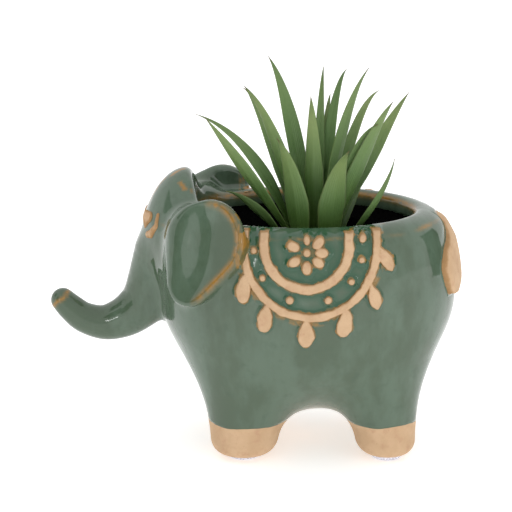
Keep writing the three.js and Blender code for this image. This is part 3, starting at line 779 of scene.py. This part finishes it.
# ---- foam ----
def make_foam(material):
    """The foam block: its well, its pitted top, its side and its underside, in rings round the plant."""
    segments = 160
    turns = np.arange(segments) * 2 * math.pi / segments
    c, s = np.cos(turns), np.sin(turns)
    a, b = FOAM["half_length"], FOAM["half_width"]
    ox, oy = PLANT["x"] - MOUTH["x"], PLANT["y"]
    # distance from the plant to the block's outline in each direction
    qa = (c / a) ** 2 + (s / b) ** 2
    qb = 2 * (ox * c / a ** 2 + oy * s / b ** 2)
    qc = (ox / a) ** 2 + (oy / b) ** 2 - 1
    out = (-qb + np.sqrt(qb * qb - 4 * qa * qc)) / (2 * qa)
    shrink = 1 - FOAM["taper"] / FOAM["half_width"]
    rings = [(WELL["bottom_radius"] * t, WELL["bottom"]) for t in (0.35, 0.7, 1)]
    rings += [(WELL["bottom_radius"] + (WELL["top_radius"] - WELL["bottom_radius"]) * t,
               WELL["bottom"] + (FOAM["top"] - WELL["bottom"]) * t) for t in (0.25, 0.5, 0.75, 0.97)]
    points = [np.array([[PLANT["x"], PLANT["y"], WELL["bottom"]]])]
    for radius, z in rings:
        points.append(np.stack([PLANT["x"] + radius * c, PLANT["y"] + radius * s, np.full(segments, z)], 1))
    for t in np.linspace(0.04, 0.97, 16):
        radius = WELL["top_radius"] + (out - WELL["top_radius"]) * t
        x, y = PLANT["x"] + radius * c, PLANT["y"] + radius * s
        z = FOAM["top"] - 0.35 + 0.3 * ripple(x, y, 0, 4.3) * ripple(x, y, 0, 11, 1)
        points.append(np.stack([x, y, z], 1))
    for t in np.linspace(0.03, 0.98, 8):
        scale = 1 + (shrink - 1) * t
        x, y = MOUTH["x"] + (ox + out * c) * scale, (oy + out * s) * scale
        points.append(np.stack([x, y, FOAM["top"] + (FOAM["bottom"] - FOAM["top"]) * t + 0 * x], 1))
    for t in (0.97, 0.5):
        x, y = MOUTH["x"] + (ox + out * c) * shrink * t, (oy + out * s) * shrink * t
        points.append(np.stack([x, y, np.full(segments, FOAM["bottom"])], 1))
    points.append(np.array([[MOUTH["x"], 0, FOAM["bottom"]]]))
    count = len(points) - 2
    faces = [face[::-1] for face in ring_faces(count, segments, 1)]
    last = count * segments + 1
    for i in range(segments):
        j = (i + 1) % segments
        faces += [(0, 1 + i, 1 + j), (last, last - segments + j, last - segments + i)]
    return mesh_object("foam_insert", np.vstack(points), faces, material)


# ---- bumper pads ----
def make_pad(name, foot, side, material):
    radius, height, edge, top = PAD["radius"], PAD["height"], PAD["edge"], PAD["top_edge"]
    profile = [(0, 0), (radius * 0.6, 0), (radius - edge, 0)]
    profile += [(radius - edge + edge * math.sin(t), edge - edge * math.cos(t)) for t in (0.5, 0.9, 1.25)]
    profile += [(radius, edge), (radius, height - top), (radius - top, height), (radius * 0.6, height)]
    profile.append((0, height))
    return lathe(name, profile, 64, (foot[0], side * foot[1]), material)


# ---- succulent ----
# whorls of the crown: radius at which the leaves stand and height of the step under them
WHORLS = {"a": (3, 92), "b": (5.5, 91), "c": (8.5, 90), "d": (11.5, 89)}
# leaves: whorl, azimuth, reach and rise of the tip, reach and rise of the bend, width, twist (degrees)
LEAVES = [
    ("c", 169, 53, 53, 25, 45, 6.5, -50), ("c", -155, 51, 57, 40, 44, 8, 40),
    ("d", -162, 40, 24, 29, 22, 7.5, 40), ("b", 150, 36, 64, 23, 53, 10, -35),
    ("b", -159, 33, 68, 19, 58, 8, 40), ("a", 154, 23, 78, 12, 64, 9.5, -30),
    ("d", -125, 29, 49, 15, 35, 11.5, 12), ("a", -101, 14, 65, 7, 50, 8.4, 0),
    ("a", 80, 18, 73, 8, 62, 4.8, 0), ("b", 69, 17, 61, 11, 56, 5.2, 0),
    ("a", 57, 24, 71, 11, 66, 6, 15), ("a", -20, 23, 76, 11, 60, 7.5, -35),
    ("b", 41, 36, 61, 22, 58, 6.5, 20), ("c", -38, 32, 54, 19, 50, 7, -25),
    ("b", -35, 38, 64, 29, 54, 8.5, -30), ("b", 11, 40, 63, 30, 50, 9, 40),
    ("d", -32, 38, 40, 35, 24, 4.5, -30), ("d", -63, 29, 44, 15, 34, 13, -5),
    ("d", 112, 26, 38, 18, 28, 9, 0), ("d", 82, 32, 42, 20, 34, 9, 0),
    ("d", 40, 34, 34, 24, 26, 8, 0)]
LEAF_THICKNESS = 0.9
LEAF_STATIONS = 44
LEAF_HALF_SECTION = 8


def leaf_width(t):
    rise = 0.45 + 0.55 * np.sin(math.pi / 2 * np.minimum(t / 0.34, 1))
    return rise * np.maximum(1 - (np.maximum(t - 0.34, 0) / 0.66) ** 1.02, 0.02)


def leaf_section():
    """Across (-1 to 1) and side (1 above, -1 below) round a leaf, its edges sharp and its middle thick."""
    over = np.linspace(-1, 1, 2 * LEAF_HALF_SECTION + 1)
    under = over[-2:0:-1]
    across = np.concatenate([over, under])
    side = np.concatenate([np.ones(len(over)), -np.ones(len(under))])
    return across, side * (1 - across ** 2) ** 0.5


def make_leaf(number, leaf, material):
    whorl, azimuth, reach, rise, bend_reach, bend_rise, width, twist = leaf
    angle = math.radians(azimuth)
    away = np.array([math.cos(angle), math.sin(angle), 0])
    aside = np.array([-math.sin(angle), math.cos(angle), 0])
    radius, step = WHORLS[whorl]
    root = np.array([PLANT["x"], PLANT["y"], 0.0])
    p0 = root + away * radius + (0, 0, step)
    p1 = root + away * bend_reach + (0, 0, PLANT["base"] + bend_rise)
    p2 = root + away * reach + (0, 0, PLANT["base"] + rise)
    across, thick = leaf_section()
    rings, along = [], []
    for t in np.linspace(0, 1, LEAF_STATIONS):
        spine = p0 * (1 - t) ** 2 + p1 * 2 * t * (1 - t) + p2 * t * t
        tangent = (p1 - p0) * (1 - t) + (p2 - p1) * t
        normal = unit(np.cross(tangent, aside))
        turn = math.radians(twist) * min(2 * t, 1)
        side = aside * math.cos(turn) + normal * math.sin(turn)
        face = normal * math.cos(turn) - aside * math.sin(turn)
        half = width / 2 * leaf_width(t)
        depth = LEAF_THICKNESS / 2 * (1 - 0.6 * t)
        channel = 0.18 * half * (across ** 2 - 0.3) - 0.12 * half * np.exp(-(across / 0.22) ** 2) * (1 - t)
        wave = 0.12 * math.sin(9 * t + number) * across * half * 0.4
        rings.append(spine + np.outer(across * half, side) + np.outer(thick * depth + channel + wave, face))
        along.append(np.full(len(across), t))
    size = len(across)
    last = (LEAF_STATIONS - 1) * size
    faces = ring_faces(LEAF_STATIONS, size)
    faces += [tuple(range(size))[::-1], tuple(range(last, last + size))]
    points = np.vstack(rings)
    tone = 0.15 + 0.7 * ((number * 0.37) % 1)
    return mesh_object(f"leaf_blade_{number:02d}", points, outward(points, faces), material,
                       along=np.concatenate(along), across=np.tile(across, LEAF_STATIONS),
                       tone=np.full(len(points), tone))


def outward(points, faces):
    """The faces, turned over if they enclose a negative volume."""
    volume = 0
    for face in faces:
        a = points[face[0]]
        for i, j in zip(face[1:-1], face[2:]):
            volume += np.dot(a, np.cross(points[i], points[j]))
    return [tuple(face)[::-1] for face in faces] if volume < 0 else faces


def make_crown(material):
    """The stepped crown that the leaves stand on."""
    profile = [(0, WELL["bottom"] + 0.3)]
    for radius, step in (WHORLS["d"], WHORLS["c"], WHORLS["b"], WHORLS["a"]):
        below = profile[-1][1]
        profile += [(radius + 0.8, below), (radius + 1, below + 0.15)]
        profile += [(radius + 1, step - 0.5), (radius + 0.8, step - 0.3)]
    top = WHORLS["a"][1] - 0.3
    profile += [(1, top), (0, top)]
    return lathe("plant_stub", profile, 72, (PLANT["x"], PLANT["y"]), material)


# ---- stage ----
VIEW = {"target": (0, 0, 60), "aim": (0.2, 0, 82.4), "yaw": 1.0, "elevation": 15.5, "distance": 900,
        "lens": 144.5}
FLOOR_REACH = 12      # metres


def make_camera():
    yaw, up = math.radians(VIEW["yaw"]), math.radians(VIEW["elevation"])
    back = Vector((math.sin(yaw) * math.cos(up), -math.cos(yaw) * math.cos(up), math.sin(up)))
    data = bpy.data.cameras.new("camera")
    data.lens = VIEW["lens"]
    data.clip_end = 100
    camera = bpy.data.objects.new("camera", data)
    camera.location = (Vector(VIEW["target"]) + back * VIEW["distance"]) * MM
    towards = Vector(VIEW["aim"]) * MM - camera.location
    camera.rotation_euler = towards.to_track_quat("-Z", "Y").to_euler()
    bpy.context.scene.collection.objects.link(camera)
    bpy.context.scene.camera = camera


def area_light(name, place, size, power, aim=(0, 0, 0.06)):
    """A strip light at `place` in metres, turned to face `aim`."""
    data = bpy.data.lights.new(name, "AREA")
    data.shape = "RECTANGLE"
    data.size, data.size_y = size
    data.energy = power
    light = bpy.data.objects.new(name, data)
    light.location = place
    light.rotation_euler = (Vector(aim) - Vector(place)).to_track_quat("-Z", "Y").to_euler()
    bpy.context.scene.collection.objects.link(light)


def card_material():
    s = Shader("card", Roughness=0.9)
    s.set("Base Color", s.mix(s.noise(60, 2), colour("222222"), colour("2a2a2a")))
    return s.material


def flat_sheet(name, half_width, half_height, material):
    """A flat rectangle about the origin, in metres."""
    mesh = bpy.data.meshes.new(name)
    corners = [(i * half_width, j * half_height, 0) for i, j in ((-1, -1), (1, -1), (1, 1), (-1, 1))]
    mesh.from_pydata(corners, [], [(0, 1, 2, 3)])
    mesh.materials.append(material)
    sheet = bpy.data.objects.new(name, mesh)
    bpy.context.scene.collection.objects.link(sheet)
    sheet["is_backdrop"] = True
    return sheet


def black_card(name, place, size, aim=(0, 0, 0.08)):
    """A dark card on a stand out of the picture, that keeps light off one side and shows in the glaze."""
    card = flat_sheet(name, size[0] / 2, size[1] / 2, card_material())
    card.location = place
    card.rotation_euler = (Vector(aim) - Vector(place)).to_track_quat("-Z", "Y").to_euler()


def make_stage():
    flat_sheet("floor", FLOOR_REACH, FLOOR_REACH, floor_material())
    world = bpy.data.worlds.new("studio")
    world.use_nodes = True
    world.node_tree.nodes["Background"].inputs["Color"].default_value = (1, 1, 1, 1)
    world.node_tree.nodes["Background"].inputs["Strength"].default_value = 1.02
    bpy.context.scene.world = world
    area_light("left_strip_light", (-0.7, -0.98, 0.33), (0.05, 0.22), 0.42)
    area_light("right_strip_light", (0.8, -0.88, 0.3), (0.07, 0.24), 0.6)
    black_card("left_card", (-1.02, -0.7, 0.45), (0.46, 0.85))
    black_card("head_card", (-1.1, 0.05, 0.75), (0.5, 0.5))
    black_card("right_card", (0.62, 0.24, 0.17), (0.3, 0.32))
    bpy.context.scene.view_settings.view_transform = "Standard"


# ---- assembly ----
def stand_for(piece, body, slot, *nodes):
    """The piece rides on a body and stands for CAD nodes. The slot is not used."""
    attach(piece, body)
    if nodes:
        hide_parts(*nodes)


make_camera()
make_stage()
glaze, clay = glaze_material(), clay_material()
stand_for(make_casting(glaze), "pot", "green_glaze", "planter_body", "ear_left", "ear_right")
SADDLE_PARTS = {
    "inner_band": (inner_edge, (0, 79), (44, 107)),
    "fringe_band": (fringe_edge, (-19, 52), (66, 107)),
    "flower": (flower_edge, (12, 86), (32, 106)),
}
for side_name, side in (("left", -1), ("right", 1)):
    for part, (edge, low, high) in SADDLE_PARTS.items():
        piece = make_saddle(f"clay_{part}_{side_name}", edge, low, high, side, clay)
        stand_for(piece, "pot", "bare_clay", f"saddle_{part}_{side_name}")
    stand_for(make_petals(side, clay), "pot", "bare_clay")
stand_for(make_tail(clay), "pot", "bare_clay", "tail")
stand_for(make_foam(foam_material()), "pot", "black_foam", "foam_block")
rubber = pad_material()
for row, leg in (("front", FRONT_LEG), ("rear", REAR_LEG)):
    for side_name, side in (("left", -1), ("right", 1)):
        pad = make_pad(f"clear_pad_{row}_{side_name}", leg["foot"], side, rubber)
        stand_for(pad, "pot", "clear_rubber", f"bumper_pad_{row}_{side_name}")
stand_for(make_crown(stem_material()), "plant", "crown_plastic", "plant_crown")
plastic = leaf_material()
for number, leaf in enumerate(LEAVES, 1):
    stand_for(make_leaf(number, leaf, plastic), "plant", "leaf_plastic", f"leaf_{number:02d}")

low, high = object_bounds()
